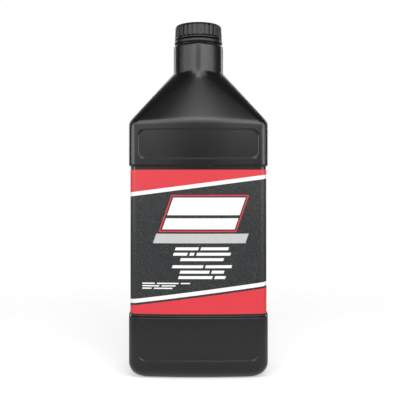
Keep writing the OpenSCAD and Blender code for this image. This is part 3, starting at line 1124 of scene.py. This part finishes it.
SURFACES = {
    Finish.BODY: Surface(
        "black_polyethylene", (0.005, 0.0055, 0.006), (0.011, 0.0115, 0.012), 0.2, 950.0, 0.00003, 1.2, 0.5
    ),
    Finish.CAP: Surface(
        "black_cap_plastic", (0.005, 0.005, 0.0055), (0.01, 0.01, 0.011), 0.32, 1500.0, 0.00002, 0.5, 0.4
    ),
    Finish.FOAM: Surface("white_foam", (0.8, 0.78, 0.7), (0.86, 0.85, 0.8), 0.8, 1500.0, 0.00005, 0.2, 0.7),
    Finish.FILM: Surface("black_film", (0.012, 0.014, 0.015), (0.09, 0.1, 0.1), 0.35, 1600.0, 0.000004, 1.0, 0.8),
    Finish.RED: Surface("red_ink", (0.66, 0.035, 0.05), (0.7, 0.05, 0.065), 0.35, 2200.0, 0.000004, 1.0, 0.5),
    Finish.WHITE: Surface("white_ink", (0.86, 0.86, 0.84), (0.9, 0.9, 0.89), 0.35, 2200.0, 0.000004, 1.0, 0.5),
    Finish.SILVER: Surface("silver_ink", (0.5, 0.51, 0.51), (0.62, 0.63, 0.63), 0.32, 1800.0, 0.000004, 1.0, 0.6),
}

# Each row of lamps: name, angle upwards, distance and height, and each lamp's angle from the front to the right,
# width and brightness.
LAMP_ROWS = (
    ("low", 2.6, 0.66, 0.14, (
        (-14, 0.15, 0.76), (14, 0.15, 0.60), (-28, 0.16, 0.91), (-45, 0.23, 1.07), (45, 0.23, 0.96),
        (-65, 0.22, 5.00), (65, 0.22, 5.60), (-84, 0.2, 3.60), (84, 0.2, 2.47),
    )),
    ("front", 18, 0.68, 0.2, (
        (0, 0.2, 1.90), (-20, 0.24, 4.08), (20, 0.24, 4.71), (-41, 0.24, 2.98), (41, 0.24, 4.20),
        (-62, 0.24, 2.34), (62, 0.24, 2.80), (-82, 0.22, 0.85), (82, 0.22, 0.42),
    )),
    ("upper", 33, 0.8, 0.17, ((0, 0.6, 4.0),)),
    ("top", 46, 1.3, 0.45, ((0, 0.28, 5.20), (22, 0.35, 1.58))),
    ("back", 14, 1.2, 0.8, ((-142, 0.24, 3.50), (142, 0.24, 3.50))),
    ("back_high", 34, 1.3, 0.6, ((180, 0.9, 2.20),)),
)


@dataclass
class Studio:
    """The floor, the lamps and the camera."""

    distance: float = 0.500
    eye: float = 0.130
    metres_per_pixel: float = 0.00069
    frame_px: float = 400.0
    middle_px: float = 198.4
    eye_px: float = 179.7
    sensor: float = 36.0
    aim: float = 0.14
    ambient: float = 0.067
    floor_r: float = 0.45
    floor_grey: float = 0.9
    floor_lift: float = 0.36
    floor_fade: float = 0.3

    def camera(self) -> None:
        """Places the camera: level, in front, with the frame moved up or down by its shift."""
        data = bpy.data.cameras.new("camera")
        data.sensor_width = self.sensor
        data.sensor_fit = "HORIZONTAL"
        data.lens = self.sensor * self.distance / (self.metres_per_pixel * self.frame_px)
        data.shift_x = (self.frame_px / 2 - self.middle_px) / self.frame_px
        data.shift_y = (self.eye_px - self.frame_px / 2) / self.frame_px
        data.clip_end = 20.0
        camera = bpy.data.objects.new("camera", data)
        camera.location = (0, -self.distance, self.eye)
        camera.rotation_euler = (math.pi / 2, 0, 0)
        bpy.context.collection.objects.link(camera)
        bpy.context.scene.camera = camera

    def panel(
        self, name: str, aim: tuple[float, float], away: float, size: tuple[float, float], level: float
    ) -> None:
        """Adds a soft rectangular lamp that faces the bottle.

        Args:
            name: The lamp's name.
            aim: Its direction from the bottle in degrees, from the front round to the right, and upwards.
            away: Its distance in metres.
            size: Its width and height in metres.
            level: How bright it looks, where 1 is white.
        """
        data = bpy.data.lights.new(name, "AREA")
        data.shape = "RECTANGLE"
        data.size, data.size_y = size
        data.energy = level * math.pi * size[0] * size[1]
        lamp = bpy.data.objects.new(name, data)
        turn, rise = (math.radians(angle) for angle in aim)
        toward = Vector((math.sin(turn) * math.cos(rise), -math.cos(turn) * math.cos(rise), math.sin(rise)))
        lamp.location = Vector((0, 0, self.aim)) + toward * away
        lamp.rotation_euler = toward.to_track_quat("Z", "Y").to_euler()
        bpy.context.collection.objects.link(lamp)

    def world(self) -> None:
        """Lights a little from all round, and is white to the camera."""
        world = bpy.data.worlds.new("studio")
        bpy.context.scene.world = world
        nodes = Nodes.of(world)
        camera = nodes.add("ShaderNodeLightPath").outputs["Is Camera Ray"]
        ambient = nodes.add("ShaderNodeBackground", {"Color": WHITE, "Strength": self.ambient})
        white = nodes.add("ShaderNodeBackground", {"Color": WHITE, "Strength": 1.0})
        pick = nodes.add("ShaderNodeMixShader", {0: camera, 1: ambient.outputs[0], 2: white.outputs[0]})
        nodes.add("ShaderNodeOutputWorld", {"Surface": pick.outputs[0]})

    def floor(self) -> None:
        """Lays a white floor that fades into the white round it and keeps the bottle's shadow."""
        mesh = bmesh.new()
        bmesh.ops.create_circle(mesh, cap_ends=True, radius=self.floor_r, segments=96)
        data = bpy.data.meshes.new("floor")
        mesh.to_mesh(data)
        mesh.free()
        floor = bpy.data.objects.new("floor", data)
        bpy.context.collection.objects.link(floor)
        material = bpy.data.materials.new("floor_white")
        nodes = Nodes.of(material)
        matt = nodes.add("ShaderNodeBsdfDiffuse", {"Color": (*[self.floor_grey] * 3, 1)})
        lift = nodes.add("ShaderNodeEmission", {"Color": WHITE, "Strength": self.floor_lift})
        bright = nodes.add("ShaderNodeAddShader", {0: matt.outputs[0], 1: lift.outputs[0]})
        camera = nodes.add("ShaderNodeLightPath").outputs["Is Camera Ray"]
        both = nodes.add("ShaderNodeMixShader", {0: camera, 1: matt.outputs[0], 2: bright.outputs[0]})
        place = nodes.add("ShaderNodeTexCoord").outputs["Object"]
        reach = nodes.add("ShaderNodeVectorMath", {0: place}, operation="LENGTH")
        fade = nodes.add("ShaderNodeMapRange", {
            "Value": reach.outputs["Value"], "From Min": self.floor_r * self.floor_fade, "From Max": self.floor_r,
        }, interpolation_type="SMOOTHSTEP")
        clear = nodes.add("ShaderNodeBsdfTransparent")
        pick = nodes.add("ShaderNodeMixShader", {0: fade.outputs["Result"], 1: both.outputs[0], 2: clear.outputs[0]})
        nodes.add("ShaderNodeOutputMaterial", {"Surface": pick.outputs[0]})
        data.materials.append(material)

    def build(self) -> None:
        """Sets the whole studio up."""
        scene = bpy.context.scene
        scene.view_settings.view_transform = "Standard"
        self.camera()
        self.world()
        self.floor()
        for row, rise, away, height, lamps in LAMP_ROWS:
            for turn, width, level in lamps:
                self.panel(f"{row}_{turn}", (turn, rise), away, (width, height), level)


def main() -> None:
    """Builds the studio and every piece of the bottle."""
    logging.basicConfig(level=logging.INFO, format="%(name)s: %(message)s")
    Studio().build()
    grain = grain_group()
    looks = {slot: surface.build(grain) for slot, surface in SURFACES.items()}
    sizes = BodySizes()
    for piece in (BlownBody, ScrewCap, BrokenRing, Label):
        piece(sizes).build(looks)
    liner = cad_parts["cap_liner"]
    liner.material_slots[0].material = looks[Finish.FOAM]


if __name__ == "__main__":
    main()
